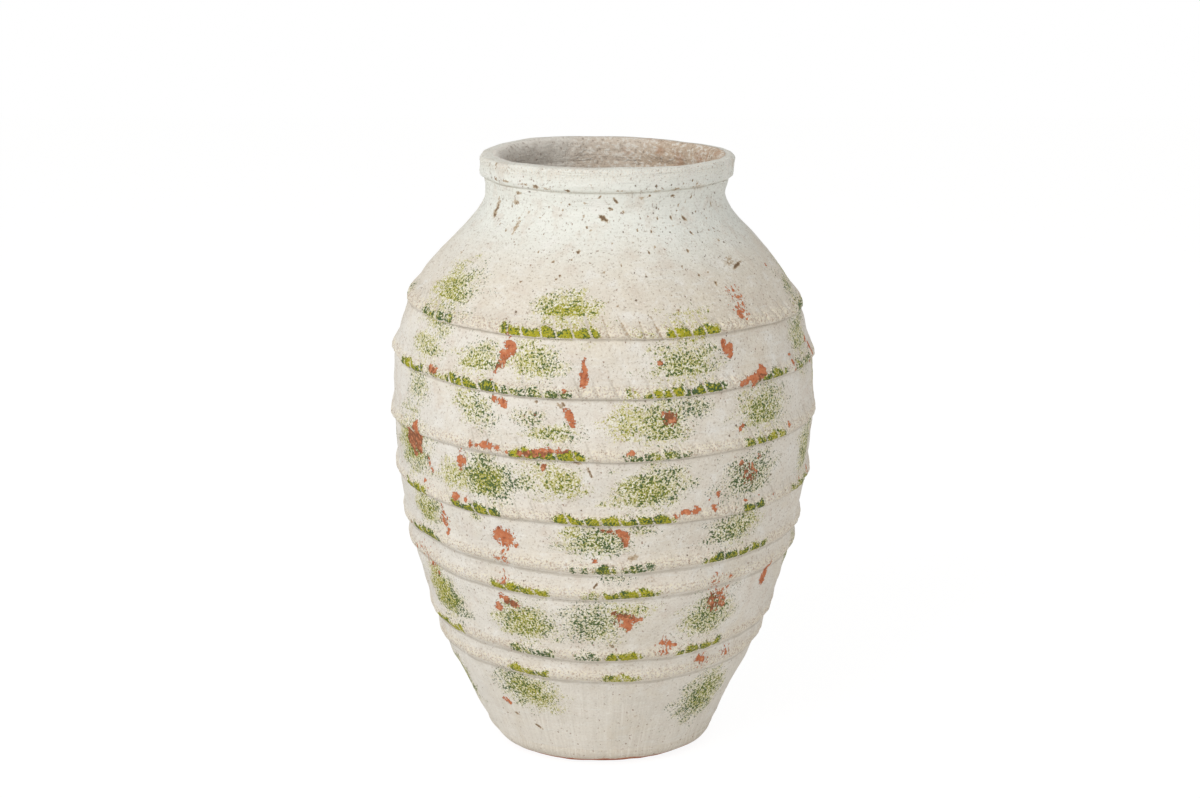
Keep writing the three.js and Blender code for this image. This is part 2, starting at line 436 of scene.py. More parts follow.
    # Inside and underneath there is no wash: fired clay with old lime in the mouth
    old_lime = coat.noise(coat.stretch(place, 1, 1, 1.3), 0.005, 4, 0.7)
    lining = coat.lay(pigment(236, 230, 220), pigment(214, 194, 172), (side * 4 + broad).rise(0.2, 0.74))
    lining = coat.lay(lining, pigment(247, 243, 234), old_lime.rise(0.5, 0.6) * 0.8)
    lining = coat.lay(lining, pigment(158, 142, 128), old_lime.rise(0.45, 0.32) * 0.75)
    lining = coat.lay(lining, pigment(176, 120, 78), (blotch + side).rise(0.6, 0.74) * 0.45)
    lined = (inside + (blotch - 0.5) * 0.5 + (fine - 0.5) * 0.4).rise(0.35, 0.65)
    colour = coat.lay(colour, lining, lined)
    slab = coat.lay(pigment(186, 108, 76), pigment(205, 150, 118), blotch.rise(0.4, 0.65))
    unwashed = (bare + (blotch - 0.5) * 1.2 + (fine - 0.5) * 0.7).rise(0.42, 0.62)
    colour = coat.lay(colour, slab, unwashed)

    # Relief in millimetres: plaster grain, brush marks, pits, and the edges of paint and flakes
    relief = (fine * 0.8 + blotch * 0.8 + brushed * (0.35 + upper * 1.2) + painted * 0.1
              + crumbly * crumb * 0.5 - gone * 0.55 - dots * 0.9 - crumbs * 0.4 - hole * 0.5
              + inside * old_lime * 2.2)
    bump = coat.node("Bump", {}, {"Height": relief, "Distance": mm, "Strength": 1.0})
    sockets = {"Base Color": colour, "Normal": bump, "Specular IOR Level": 0.25, "Roughness": 0.9}
    if rough:
        sockets["Roughness"] = 0.93 - painted * 0.12 - brushed * 0.06
    surface = coat.node("BsdfPrincipled", {}, sockets)
    coat.node("OutputMaterial", {}, {"Surface": surface})
    return material


# Marks on the jar, as bearing from the front (degrees, to the right) and height (mm)
# A dab of the sponge: bearing, height, half width and half height (mm), slant (degrees),
# fullness, tone from yellow (0) to dark green (1), and how the tone drifts to its right
dabs = [
    (-53, 539, 37, 34, 0, 0.72, 0.20, 0.4),
    (-84, 528, 14, 12, 0, 0.90, 0.80, 0.0),
    (-11, 538, 34, 21, 0, 0.90, 0.12, -0.1),
    (24, 525, 33, 17, 0, 0.40, 0.05, 0.1),
    (78, 526, 24, 24, 0, 0.55, 0.60, 0.0),
    (-56, 487, 32, 19, 0, 0.46, 0.15, 0.1),
    (-35, 484, 31, 20, 25, 0.62, 0.30, 0.2),
    (-18, 491, 31, 22, -10, 0.52, 0.25, 0.3),
    (22, 485, 39, 28, 0, 0.56, 0.36, 0.1),
    (46, 427, 38, 29, 0, 0.62, 0.40, 0.1),
    (70, 484, 26, 33, 0, 0.50, 0.40, 0.0),
    (-58, 444, 22, 20, 0, 0.40, 0.50, 0.0),
    (-35, 438, 30, 20, -30, 0.42, 0.40, 0.3),
    (-13, 417, 31, 12, 8, 0.54, 0.30, 0.1),
    (-19, 434, 20, 10, 0, 0.28, 0.70, 0.0),
    (8, 431, 32, 22, 0, 0.40, 0.08, 0.3),
    (15, 427, 30, 27, 20, 0.66, 0.35, 0.1),
    (24, 444, 22, 11, 0, 0.40, 0.80, 0.0),
    (-61, 380, 38, 38, 0, 0.86, 0.36, 0.1),
    (-31, 361, 34, 26, -10, 0.95, 0.60, 0.2),
    (-41, 357, 28, 18, 0, 0.50, 0.10, 0.0),
    (-11, 367, 27, 19, 0, 0.56, 0.10, 0.0),
    (-17, 372, 34, 24, 0, 0.14, 0.30, 0.0),
    (-20, 366, 16, 12, 0, 0.40, 0.45, 0.0),
    (12, 357, 43, 25, 12, 0.72, 0.38, 0.15),
    (41, 358, 37, 26, 10, 0.52, 0.80, 0.0),
    (70, 360, 24, 36, 0, 0.58, 0.40, 0.0),
    (-57, 306, 28, 21, 0, 0.76, 0.25, 0.2),
    (-36, 316, 8, 5, 0, 0.40, 0.25, 0.0),
    (-2, 299, 38, 18, 0, 0.62, 0.50, 0.1),
    (-8, 309, 16, 8, 0, 0.45, 0.05, 0.0),
    (10, 312, 18, 7, 0, 0.30, 0.60, 0.0),
    (38, 299, 36, 21, 15, 0.58, 0.50, -0.4),
    (3, 257, 18, 6, 0, 0.30, 0.90, 0.0),
    (-58, 200, 38, 29, -35, 0.95, 0.35, 0.5),
    (-24, 195, 37, 26, 0, 0.76, 0.35, 0.1),
    (-3, 200, 35, 27, 0, 0.50, 0.62, -0.2),
    (7, 216, 30, 12, 0, 0.42, 0.05, 0.0),
    (34, 196, 35, 28, 15, 0.56, 0.45, 0.1),
    (78, 243, 18, 34, 0, 0.70, 0.55, 0.0),
    (-72, 82, 30, 28, -20, 0.82, 0.50, 0.0),
    (-29, 102, 39, 24, -18, 0.78, 0.38, -0.3),
    (43, 84, 34, 31, 22, 0.74, 0.50, -0.2),
]
# The back carries the same rows of dabs, fewer degrees apart where the jar is wider
back_dice = np.random.default_rng(58)
for row_at, bearing_at in [(545, 92), (490, 108), (436, 90), (366, 106), (302, 88), (201, 98), (90, 112)]:
    while bearing_at < 272:
        dabs.append((
            bearing_at + back_dice.uniform(-5, 5), row_at + back_dice.uniform(-6, 6),
            back_dice.uniform(26, 36), back_dice.uniform(16, 24), back_dice.uniform(-20, 20),
            back_dice.uniform(0.45, 0.8), back_dice.uniform(0.1, 0.7), back_dice.uniform(-0.3, 0.3)))
        bearing_at += back_dice.uniform(30, 48) * 240 / (120 + 0.24 * row_at)

# Flakes of lost wash, named by where they are, each as spots of (bearing, height, radius in mm)
# that run together
flakes = {
    "long_under_cordon_1": [(-26, 507, 4), (-25, 503, 5), (-27, 498, 4), (-27, 491, 3), (-28, 485, 2),
                            (-29, 480, 1)],
    "on_end_of_cordon_1": [(-26, 518, 2)],
    "tall_on_upper_wall": [(-5, 496, 1), (-5, 489, 2), (-5, 482, 3), (-5, 474, 4)],
    "left_on_cordon_2": [(-52, 468, 3), (-50, 467, 3)],
    "small_under_cordon_2": [(-29, 451, 2), (-27, 449, 3), (-26, 446, 3)],
    "dot_over_cordon_2": [(-10, 465, 2)],
    "slanting_under_cordon_2": [(-9.5, 445, 1), (-9, 441, 1.5), (-8.4, 437, 2.2), (-8, 433, 2),
                                (-7.6, 429, 0.8)],
    "left_edge": [(-57, 406, 2), (-57, 399, 4), (-61, 389, 6), (-56, 390, 6), (-62, 382, 6), (-57, 382, 6),
                  (-59, 386, 4), (-60, 375, 5), (-56, 374, 4), (-59, 367, 3)],
    "left_edge_dots": [(-52, 368, 1), (-52, 362, 1), (-51, 357, 2)],
    "long_over_cordon_3": [(-35, 400, 2), (-33, 399, 2), (-31, 401, 3), (-29, 400, 2), (-27, 399, 2)],
    "dot_by_cordon_3": [(-24, 397, 1)],
    "long_on_cordon_3": [(-21, 396, 2), (-19, 397, 3), (-17, 399, 3), (-15, 401, 2.4), (-13, 402, 2.2),
                         (-11, 402, 1.6), (-9, 402, 1.4), (-7, 401, 0.8), (-15, 396, 1)],
    "mark_left_of_dab": [(-39, 379, 3), (-38, 377, 3), (-39, 371, 2), (-39, 366, 1), (-39, 389, 1)],
    "small_under_cordon_3": [(-15, 384, 1.6), (-15.6, 381, 0.6)],
    "dot_on_cordon_2": [(-30, 470, 1)],
    "shoulder_right": [(42, 532, 2), (42, 529, 2)],
    "right_under_cordon_1": [(34, 507, 2), (34, 502, 2), (36, 500, 3), (35, 497, 3), (36, 492, 2)],
    "large_on_cordon_2": [(38, 461, 2), (40, 463, 3), (42, 465, 4), (44, 466, 5), (46, 468, 4),
                          (46, 473, 3), (43, 458, 3)],
    "tall_at_right": [(61, 476, 1), (61, 467, 2), (62, 459, 1)],
    "right_edge": [(77, 479, 3), (79, 470, 4), (80, 462, 2), (80, 452, 2)],
    "dot_left_of_dab": [(15, 491, 2)],
    "dark_in_dab": [(15, 440, 1), (17, 436, 4), (18, 431, 2), (16, 428, 1)],
    "pair_right": [(38, 416, 1), (37, 413, 2)],
    "dot_far_right": [(56, 403, 2)],
    "red_on_cordon_3": [(6, 400, 1), (7, 401, 2)],
    "shoulder_dots": [(44, 546, 1), (45, 540, 1)],
    "shoulder_edge": [(70, 565, 1)],
    "dots_over_dab": [(36, 382, 1), (38, 375, 2), (44, 377, 2)],
    "right_low_edge": [(75, 334, 2), (75, 329, 1)],
    "pair_over_cordon_4": [(-42, 335, 3), (-41, 335, 2), (-38, 334, 1)],
    "left_over_cordon_4": [(-55, 340, 2)],
    "splash": [(-29, 303, 2), (-28, 300, 4), (-27, 297, 4), (-28, 309, 1), (-26, 301, 2), (-30, 297, 2),
               (-24, 289, 1), (-25, 293, 1)],
    "splash_drops": [(-28, 281, 1), (-30, 273, 1)],
    "left_column": [(-49, 316, 1), (-49, 308, 1), (-49, 299, 1), (-48, 290, 1), (-48, 284, 1)],
    "on_cordon_5": [(-2, 279, 2)],
    "hooked_under_cordon_4": [(0, 313, 1), (2, 312, 2), (4, 311, 2), (5, 310, 2), (6, 306, 3), (6, 301, 2),
                              (6, 297, 1)],
    "drops_on_cordon_6": [(-29, 256, 1), (-29, 243, 1)],
    "over_lower_dab": [(-33, 212, 2), (-32, 209, 3), (-33, 206, 2), (-31, 224, 2), (-29, 221, 3),
                       (-27, 218, 3), (-26, 215, 2)],
    "left_low_dots": [(-63, 231, 1), (-59, 225, 2), (-70, 246, 2)],
    "ragged_in_lower_dab": [(3, 214, 2), (5, 211, 3), (7, 208, 3), (9, 206, 2), (11, 205, 2), (8, 202, 2),
                            (7, 198, 2), (8, 194, 1)],
    "by_foot_dab": [(-42, 80, 1), (-39, 77, 2)],
    "dots_over_cordon_4": [(31, 345, 2), (30, 330, 3)],
    "bar_on_cordon_4": [(19, 327, 1), (21, 330, 1), (22, 330, 2), (24, 330, 2), (25, 332, 2)],
    "right_on_cordon_4": [(40, 331, 1), (45, 331, 1), (51, 329, 1)],
    "right_lower_tall": [(57, 243, 1), (57, 236, 3), (57, 229, 5), (57, 222, 5), (58, 215, 3)],
    "in_right_lower_dab": [(34, 220, 2), (35, 211, 2), (35, 204, 1), (39, 207, 2), (40, 228, 1),
                           (39, 242, 2)],
    "on_cordon_7": [(19, 172, 1), (21, 170, 2), (23, 168, 2)],
    "on_cordon_8": [(34, 141, 2), (36, 139, 2), (47, 141, 1)],
}
for back_flake in range(46):
    bearing_at = back_dice.uniform(84, 276)
    height_at = back_dice.uniform(150, 530)
    spot_count = back_dice.integers(1, 5)
    heading = back_dice.uniform(0, full_turn)
    spots = []
    for _ in range(spot_count):
        size = back_dice.uniform(0.8, 4)
        spots.append((bearing_at, height_at, size))
        heading += back_dice.uniform(-0.7, 0.7)
        bearing_at += size * 1.4 * math.cos(heading) / 4
        height_at += size * 1.4 * math.sin(heading)
    flakes["back_%d" % back_flake] = spots

# Fields of fine red specks: bearing, height, radius (mm), fullness
dustings = [
    (-27, 526, 26, 0.5), (-19, 433, 16, 0.5), (43, 548, 20, 0.8), (43, 534, 20, 0.9), (-58, 385, 26, 0.6),
    (17, 434, 13, 1.1), (41, 362, 22, 0.95), (-27, 296, 18, 1.25), (-28, 272, 14, 0.9), (-29, 248, 15, 0.8),
    (-49, 300, 14, 1.0), (-62, 236, 26, 0.8), (7, 205, 17, 1.2), (36, 215, 22, 1.1), (34, 240, 18, 0.8),
    (20, 166, 20, 0.8), (36, 138, 18, 0.85), (47, 141, 16, 0.8), (-40, 78, 8, 1.2), (-50, 470, 12, 0.4),
    (-24, 214, 16, 0.7), (66, 330, 20, 0.6), (30, 336, 18, 0.6), (-53, 336, 14, 0.7), (12, 505, 14, 0.4),
    (50, 298, 20, 0.35), (28, 158, 24, 0.5), (-66, 250, 20, 0.7),
]
for _ in range(34):
    dustings.append((back_dice.uniform(84, 276), back_dice.uniform(120, 560),
                     back_dice.uniform(12, 26), back_dice.uniform(0.35, 0.9)))

# Brown stains, gouges and pits: bearing, height, half width and half height (mm), slant
# (degrees, rising to the right) and strength, from 0.4, a tan haze, to 1.6, a dark hole
stains = [
    (-61, 630, 5, 13, 0, 1.1), (-60, 621, 3, 3, 0, 1.5), (-61, 633, 2, 4, 0, 1.3),
    (-45, 649, 5, 3, 0, 1.0), (-47, 638, 6, 3, 0, 1.1), (-50, 633, 2, 2, 0, 1.5),
    (-42, 616, 4, 13, 0, 0.9), (4, 647, 6, 2, -40, 1.45), (2, 638, 5, 2, -20, 1.4),
    (-1, 628, 8, 2.6, -28, 1.7), (-1, 628, 11, 5, -28, 0.6), (-3, 651, 5, 1.5, 40, 1.2),
    (8, 634, 2, 3, 20, 0.8), (16, 649, 4, 2, 0, 0.9), (20, 651, 2, 2, 20, 1.5), (32, 649, 4, 2, 0, 1.3),
    (43, 645, 2, 2, 30, 1.5), (36, 638, 1.3, 2, 0, 1.3), (40, 641, 1.3, 2, 0, 1.2),
    (59, 633, 2, 4, 20, 1.3), (35, 632, 2, 1.5, 20, 1.3), (46, 629, 1.6, 1.7, 0, 1.3),
    (31, 626, 2, 3, 10, 1.6), (24, 626, 1.3, 2, 20, 1.5), (38, 624, 5, 2.5, -45, 1.4),
    (52, 620, 1.5, 2, 0, 1.1), (39, 609, 4, 1.6, -50, 1.6), (14, 616, 2, 1.5, -40, 1.4),
    (20, 614, 1.3, 2, 0, 1.4), (52, 598, 2, 1.5, 0, 1.2), (31, 618, 1.6, 1.7, 0, 1.1),
    (3, 604, 1.8, 1.8, 0, 1.1), (20, 600, 1.6, 1.7, 0, 1.1), (33, 594, 2, 2.5, 0, 1.5),
    (-53, 614, 1.5, 2, 0, 1.6), (-47, 609, 1.8, 1.8, 0, 1.5), (-31, 626, 2, 1.5, -30, 1.2),
    (-17, 642, 2, 2, -30, 1.4), (-10, 644, 2, 2, 0, 1.1), (-21, 643, 1.6, 1.6, 0, 1.2),
    (-20, 636, 1.6, 1.7, 0, 1.1), (-10, 630, 1.8, 1.8, 0, 1.5), (-8, 619, 2, 2, 0, 1.2),
    (-6, 616, 2, 1.3, 0, 1.2), (-38, 630, 2, 1.5, 0, 1.0), (-10, 596, 3, 2.5, 0, 1.6),
    (-12, 589, 2, 1.5, 30, 1.5), (-19, 586, 3, 1.5, 0, 1.3), (-63, 582, 4, 2, 30, 1.0),
    (-26, 594, 1.8, 1.8, 0, 1.1), (-15, 574, 1.8, 1.8, 0, 1.4), (-16, 571, 1.6, 1.7, 0, 1.2),
    (-28, 566, 1.8, 1.8, 0, 1.2), (-44, 543, 1.8, 1.8, 0, 1.2), (6, 584, 1.6, 1.6, 0, 1.4),
    (17, 595, 1.5, 2, 0, 1.5), (14, 575, 1.3, 3, 0, 1.1), (28, 580, 1.8, 1.8, 0, 1.4),
    (0, 578, 1.6, 1.6, 0, 1.2), (5, 567, 1.8, 1.8, 0, 1.0), (4, 548, 2.5, 1.5, 0, 1.0),
    (8, 553, 2, 1.3, 0, 0.9), (21, 555, 1.6, 1.7, 0, 1.3), (33, 571, 1.8, 1.8, 0, 1.4),
    (37, 573, 2, 1.5, 0, 1.2), (38, 562, 2, 3, 0, 1.4), (22, 541, 4, 2.5, 0, 1.1),
    (52, 574, 15, 1.9, 12, 1.7), (49, 579, 14, 6, 12, 0.85), (-58, 661, 5, 2, 0, 1.1),
    (-50, 661, 10, 2, 0, 0.9), (-40, 660, 8, 2, 0, 1.0), (-33, 659, 5, 3, 0, 1.4),
    (-27, 658, 8, 3, 0, 0.7), (-17, 657, 3, 2, 0, 1.4), (6, 658, 10, 1.3, 0, 0.9),
    (23, 656, 9, 2, 0, 0.8), (33, 656, 8, 2.5, 0, 1.0), (44, 657, 14, 1.5, 0, 0.7),
    (55, 656, 5, 2, 0, 0.9), (-59, 677, 3, 2.5, 0, 1.4), (-59, 672, 2, 2, 0, 1.3),
    (41, 664, 1.5, 2.5, 0, 1.5), (44, 660, 1.8, 1.8, 0, 1.3), (36, 662, 1.6, 1.7, 0, 1.2),
    (20, 665, 1.5, 1.3, 0, 1.1), (33, 670, 1.6, 1.6, 0, 1.1), (-7, 665, 2, 2, 0, 0.9),
    (-6.4, 389, 6, 1.8, -15, 1.5), (-3.4, 379, 9, 1.8, -65, 1.7), (3, 173, 5, 1.8, -25, 1.6),
    (8, 281, 9, 4, 10, 1.0), (13, 254, 9, 3, 0, 0.5), (22, 295, 12, 8, 0, 0.3),
    (-37, 63, 4, 2.2, -20, 1.4), (-28, 50, 7, 2, -35, 1.4), (14, 72, 6, 1.3, 0, 0.8),
    (-11, 62, 5, 4, 0, 0.3), (19, 513, 9, 5, 0, 0.35), (24, 493, 2.5, 2.5, 0, 1.4),
    (-17, 452, 3, 2.5, 0, 1.5), (-2, 249, 6, 1.8, 50, 1.5), (-10, 450, 4, 2, -60, 1.6),
    (-11, 449, 6, 3, -50, 0.8), (6, 135, 5, 2, 30, 0.9),
]
for _ in range(44):
    stains.append((back_dice.uniform(70, 290), back_dice.uniform(60, 650), back_dice.uniform(2, 9),
                   back_dice.uniform(1.5, 4), back_dice.uniform(-50, 50), back_dice.uniform(0.5, 1.2)))


def apart(bearing, at):
    """Degrees turned into the short way round, in radians"""
    return (bearing - math.radians(at) + math.pi) % full_turn - math.pi


def sponge(bearing, height, radius):
    """How full the paint of the dabs is and how dark, at each point"""
    full = np.zeros(height.shape)
    dark = np.zeros(height.shape) + 0.4
    wobble = (np.sin(23 * bearing + 160 * height) + np.sin(41 * bearing - 210 * height + 1.3)
              + np.sin(17 * bearing - 330 * height + 4.1))
    for at, up_at, half_width, half_height, slant, fullness, tone, drift in dabs:
        across = radius * apart(bearing, at) / mm
        up = height / mm - up_at
        near = (np.abs(across) < 1.6 * (half_width + half_height)) & (np.abs(up) < 1.6 * half_width)
        if not near.any():
            continue
        across, up = across[near], up[near]
        c, s = math.cos(math.radians(slant)), math.sin(math.radians(slant))
        u = (across * c + up * s) / half_width
        v = (up * c - across * s) / half_height
        reach = np.hypot(u, v) * (1 + 0.09 * wobble[near])
        here = (0.25 + 0.75 * fullness) * (1 - smooth_step(reach, 0.25, 1.5))
        better = here > full[near]
        darkness = tone + drift * u + 0.25 * smooth_step(reach, 0.5, 1.3)
        dark[near] = np.where(better, darkness, dark[near])
        full[near] = np.where(better, here, full[near])
    return full, dark


def flake_distance(bearing, height, radius):
    """Millimetres to the nearest edge of a flake, below 0 inside it. Spots closer than melt or
    so run together."""
    near_total = np.zeros(height.shape)
    melt = 2.0
    for spots in flakes.values():
        for at, up_at, size in spots:
            gap = np.hypot(radius * apart(bearing, at) / mm, height / mm - up_at) - size
            near_total += np.exp(-np.clip(gap, -20, 60) / melt)
    return np.clip(-melt * np.log(near_total + 1e-9), -12, no_flake)


def soft_spots(bearing, height, radius, spots):
    """The strongest of a list of soft round or long spots"""
    total = np.zeros(height.shape)
    for at, up_at, half_length, half_width, slant, strength in spots:
        across = radius * apart(bearing, at) / mm
        up = height / mm - up_at
        c, s = math.cos(math.radians(slant)), math.sin(math.radians(slant))
        reach = np.hypot((across * c + up * s) / half_length, (up * c - across * s) / half_width)
        total = np.maximum(total, strength * (1 - smooth_step(reach, 0.2, 1.3)))
    return total


def outside_marks(bearing, height, radius, outside_rows):
    """All marks on a piece's outside rows, by name"""
    seen = np.s_[:outside_rows]
    where = (np.broadcast_to(bearing, height.shape)[seen], height[seen], radius[seen])
    marks = {name: np.zeros(height.shape) for name in ("paint", "tone", "dust", "stain")}
    marks["flake"] = np.full(height.shape, no_flake)
    marks["paint"][seen], marks["tone"][seen] = sponge(*where)
    marks["flake"][seen] = flake_distance(*where)
    round_dust = [(at, up_at, size, size, 0, fullness) for at, up_at, size, fullness in dustings]
    marks["dust"][seen] = soft_spots(*where, round_dust)
    marks["stain"][seen] = soft_spots(*where, stains)
    return marks


def worn_away(marks):
    """How deep gouges and flakes go into the surface"""
    gouge_depth, flake_depth = 0.8 * mm, 0.35 * mm
    return (gouge_depth * smooth_step(marks["stain"], 0.9, 1.5)
            + flake_depth * smooth_step(-marks["flake"], 0, 1.5))


def all_round(column):
    """One amount for each row, the same all round the wall"""
    return np.asarray(column, float).reshape(-1, 1) * np.ones(around_wall)


# The disc's rows, as (radius, height): across the underside, round the edge and back on top
disc_rows = [(rest_radius * part, 0) for part in (0.02, 0.25, 0.5, 0.75, 0.93)]
for t in np.linspace(0, 1, 14):
    edge_height = wall_bottom * (1 - math.cos(t * math.pi / 2))
    disc_rows.append((float(wall_radius(edge_height)), edge_height))
disc_outside = len(disc_rows)
disc_rows += [(fine_radii[0] * part, wall_bottom) for part in (0.8, 0.6, 0.4, 0.2, 0.02)]
disc_radius = all_round([r for r, z in disc_rows])
disc_height = all_round([z for r, z in disc_rows])
turn_once = np.arange(around_wall) * full_turn / around_wall
edge_share = np.clip((disc_radius - 0.6 * rest_radius) / (0.4 * rest_radius), 0, 1)
disc_radius = disc_radius + unevenness(turn_once, disc_height) * edge_share
base_disc = mesh_object("base_disc_clay", disc_radius, disc_height, np.ones(len(disc_rows)), 2,
                        poles=True)
inside_floor = all_round(np.arange(len(disc_rows)) >= disc_outside)
chipped = 0.35 * np.sin(5 * turn_once + 1) + 0.3 * np.sin(11 * turn_once) + 0.3 * np.sin(23 * turn_once + 2)
bare_line = (1 - smooth_step(disc_height / mm, 4.5, 10 + 4 * chipped)) * (1 - inside_floor)
mark(base_disc, disc_height.shape, bare=bare_line, inside=inside_floor,
     **outside_marks(turn_once, disc_height, disc_radius, disc_outside))
base_disc.data.materials.append(washed_clay("bare_clay", (222, 214, 200), (232, 225, 206), True))
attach(base_disc, "root")
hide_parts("base_disc")


# Wall sections and neck ring: seven rings of red clay raised one on the other, luted edge to
# edge, scraped, and limewashed outside when the jar was dry. The inside stays rough.
lime_wash = washed_clay("lime_wash", (234, 228, 217), (240, 233, 216), True)
# The cordons' crests stray from level: how far each crest is off (mm) at these bearings
stray_bearings = [-90, -60, -30, 0, 30, 60, 90, 180]
crest_strays = {
    "cordon_1": [2, 0, -2.5, -2.5, -4, -5.5, -10, -3],
    "cordon_2": [2, 0, -2.5, -3, -3, -1.5, -9, -2],
    "cordon_3": [-3, 1, 0.5, -1.5, 0, 1.5, -1, 0],
    "cordon_4": [3, 1, 0, -2.5, -4, -3, -2.5, 0],
    "cordon_5": [1, 5, 1, -3, 0, 1, 0, 0],
    "cordon_6": [3, 3.5, -1, -2, 0, 2, -2, 0],
    "cordon_7": [2, 4, 0.5, -1, -1, 1, 2, 0],
    "cordon_8": [3, 4, 1, -1, -1, 0, -1, 0],
}
rope_cordons = ("cordon_1", "cordon_2", "cordon_3", "cordon_4")


# In the frame a cordon's crest is this far over its lowest point, and here its lower edge is
# this far under its crest (mm), for a rope and for a smooth cordon
frame_crest = 8.5
rope_drop, smooth_drop = 8.6, 11


def crest_line(name, bearing):
    """The height of a cordon's crest all round, its bends evened out"""
    stray = np.mean([np.interp(np.degrees(bearing) + off, stray_bearings, crest_strays[name], period=360)
                     for off in (-9, -3, 3, 9)], axis=0)
    ripple = 0.5 * np.sin(9 * bearing + int(name[-1]))
    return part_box(name)[0].z + (frame_crest + stray + ripple) * mm


def lower_edge(name, bearing):
    """The height of a cordon's lower edge all round"""
    return crest_line(name, bearing) - (rope_drop if name in rope_cordons else smooth_drop) * mm


corner_smear_width = 14 * mm
corner_smear_height = 20 * mm
finger_width = 17 * mm
finger_depth = 0.9 * mm
for section_name in section_names:
    low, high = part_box(section_name)
    bottom, top = low.z, high.z
    upward = np.linspace(bottom, top, math.ceil((top - bottom) / row_height) + 1)
    inside_step = 3 * mm if section_name in ("neck_ring", "collar_section") else 12 * mm
    smear = corner_smear_height if section_name == "foot_section" else 0
    downward = np.linspace(top, bottom + smear, math.ceil((top - bottom - smear) / inside_step) + 1)
    inner = hollow_radius(downward)
    if smear:
        downward = np.append(downward, bottom)
        inner = np.append(inner, inner[-1] - corner_smear_width)
    height = all_round(np.concatenate([upward, downward]))
    radius = all_round(np.concatenate([wall_radius(upward), inner]))
    outside_rows = len(upward)
    outside_height, inside_height = height[:outside_rows], height[outside_rows:]
    radius[:outside_rows] += unevenness(turn_once, outside_height)
    finger_marks = finger_depth * np.sin(inside_height * full_turn / finger_width + turn_once)
    radius[outside_rows:] += (finger_marks * smooth_step(inside_height, 0.06, 0.09)
                              * (1 - smooth_step(inside_height, 0.63, 0.65)))
    # Painted grey shade lies just under each cordon
    grime = np.zeros(height.shape)
    for cordon_name in crest_strays:
        below = lower_edge(cordon_name, turn_once) - outside_height
        close = np.where(below > -4 * mm, 1 - smooth_step(below, 0.2 * mm, 3.4 * mm), 0)
        grime[:outside_rows] = np.maximum(grime[:outside_rows], close)
    within = all_round(np.arange(len(height)) >= outside_rows)
    marks = outside_marks(turn_once, height, radius, outside_rows)
    radius -= worn_away(marks)
    wall = mesh_object(section_name + "_clay", radius, height, 1 - 0.7 * within[:, 0], 2)
    mark(wall, height.shape, grime=grime, inside=within, **marks)
    wall.data.materials.append(lime_wash)
    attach(wall, "root")
    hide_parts(section_name)


# Rim coil: a thick coil of clay rolled over the neck and smoothed with a wet hand, so that its
# top is round and wavy. Old lime and a brown water line stay on its inner edge.
rim_low, rim_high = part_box("rim_coil")
neck_radius = fine_radii[-1]
# Section of the lip: out from the neck and up from the rim's foot, in mm, from the undercut
# over the top and down to the mouth
lip_points = np.array([
    (-0.6, -0.8), (0.1, 1.0), (2.2, 2.0), (4.2, 3.6), (5.3, 6.6), (5.7, 12), (6.2, 19), (6.1, 22.6),
    (4.6, 25.2), (1.4, 26.2), (-5.0, 26.4), (-9.0, 26.0), (-12.0, 24.6), (-14.4, 21.6), (-16.2, 17.0),
    (-17.2, 11), (-17.4, 5), (-17.3, 0),
])


def smooth_line(points, per_span):
    """A smooth line through the points, with so many steps between each two"""
    ends = np.concatenate([[2 * points[0] - points[1]], points, [2 * points[-1] - points[-2]]])
    line = []
    for a, b, c, d in zip(ends, ends[1:], ends[2:], ends[3:]):
        for t in np.arange(per_span) / per_span:
            line.append(0.5 * (2 * b + (c - a) * t + (2 * a - 5 * b + 4 * c - d) * t**2
                               + (3 * b - a - 3 * c + d) * t**3))
    return np.array(line + [points[-1]])


lip_points[-1] = ((hollow_radius(rim_bottom) - neck_radius) / mm, 0)
lip_line = smooth_line(lip_points, 3)
lip_out, lip_up = lip_line[:, :1] * mm, lip_line[:, 1:] * mm
lip_share = np.clip(lip_up / (rim_high.z - rim_low.z), 0, 1)
sag = (0.9 * np.sin(2 * turn_once + 0.6) + 0.6 * np.sin(3 * turn_once + 2.2)
       + 0.4 * np.sin(7 * turn_once + 0.4) + 0.22 * np.sin(15 * turn_once)
       - 0.9 * np.sin(turn_once)) * mm
swell = (0.7 * np.sin(3 * turn_once + 5) + 0.4 * np.sin(8 * turn_once + 1)
         + 0.25 * np.sin(19 * turn_once + 3)) * mm
lip_height = rim_bottom + lip_up + sag * lip_share
mouth_shift = 3 * mm * np.sin(turn_once) * smooth_step(-lip_out, 0, 14 * mm) * smooth_step(lip_up, 0, 14 * mm)
# Strokes of the wet hand run round its face, and the inside meets the neck's own true wall
stroke_depth = 0.34 * mm
on_face = smooth_step(lip_up, 3 * mm, 8 * mm) * smooth_step(lip_out, -2 * mm, 3 * mm)
strokes = stroke_depth * np.sin(lip_up * 2600 + 2.2 * np.sin(2 * turn_once)) * on_face
outer_share = np.maximum(smooth_step(lip_out, -15 * mm, -9 * mm), smooth_step(lip_up, 0, 10 * mm))
lip_radius = (neck_radius + lip_out + swell * lip_share + mouth_shift + strokes
              + unevenness(turn_once, lip_height) * outer_share)
lip_marks = outside_marks(turn_once, lip_height, lip_radius, len(lip_line))
lip_marks["paint"] = np.zeros(lip_height.shape)
lip_radius -= worn_away(lip_marks) * smooth_step(lip_out, -4 * mm, 2 * mm)
rim = mesh_object("rim_coil_clay", lip_radius, lip_height, np.ones(len(lip_line)), 3)
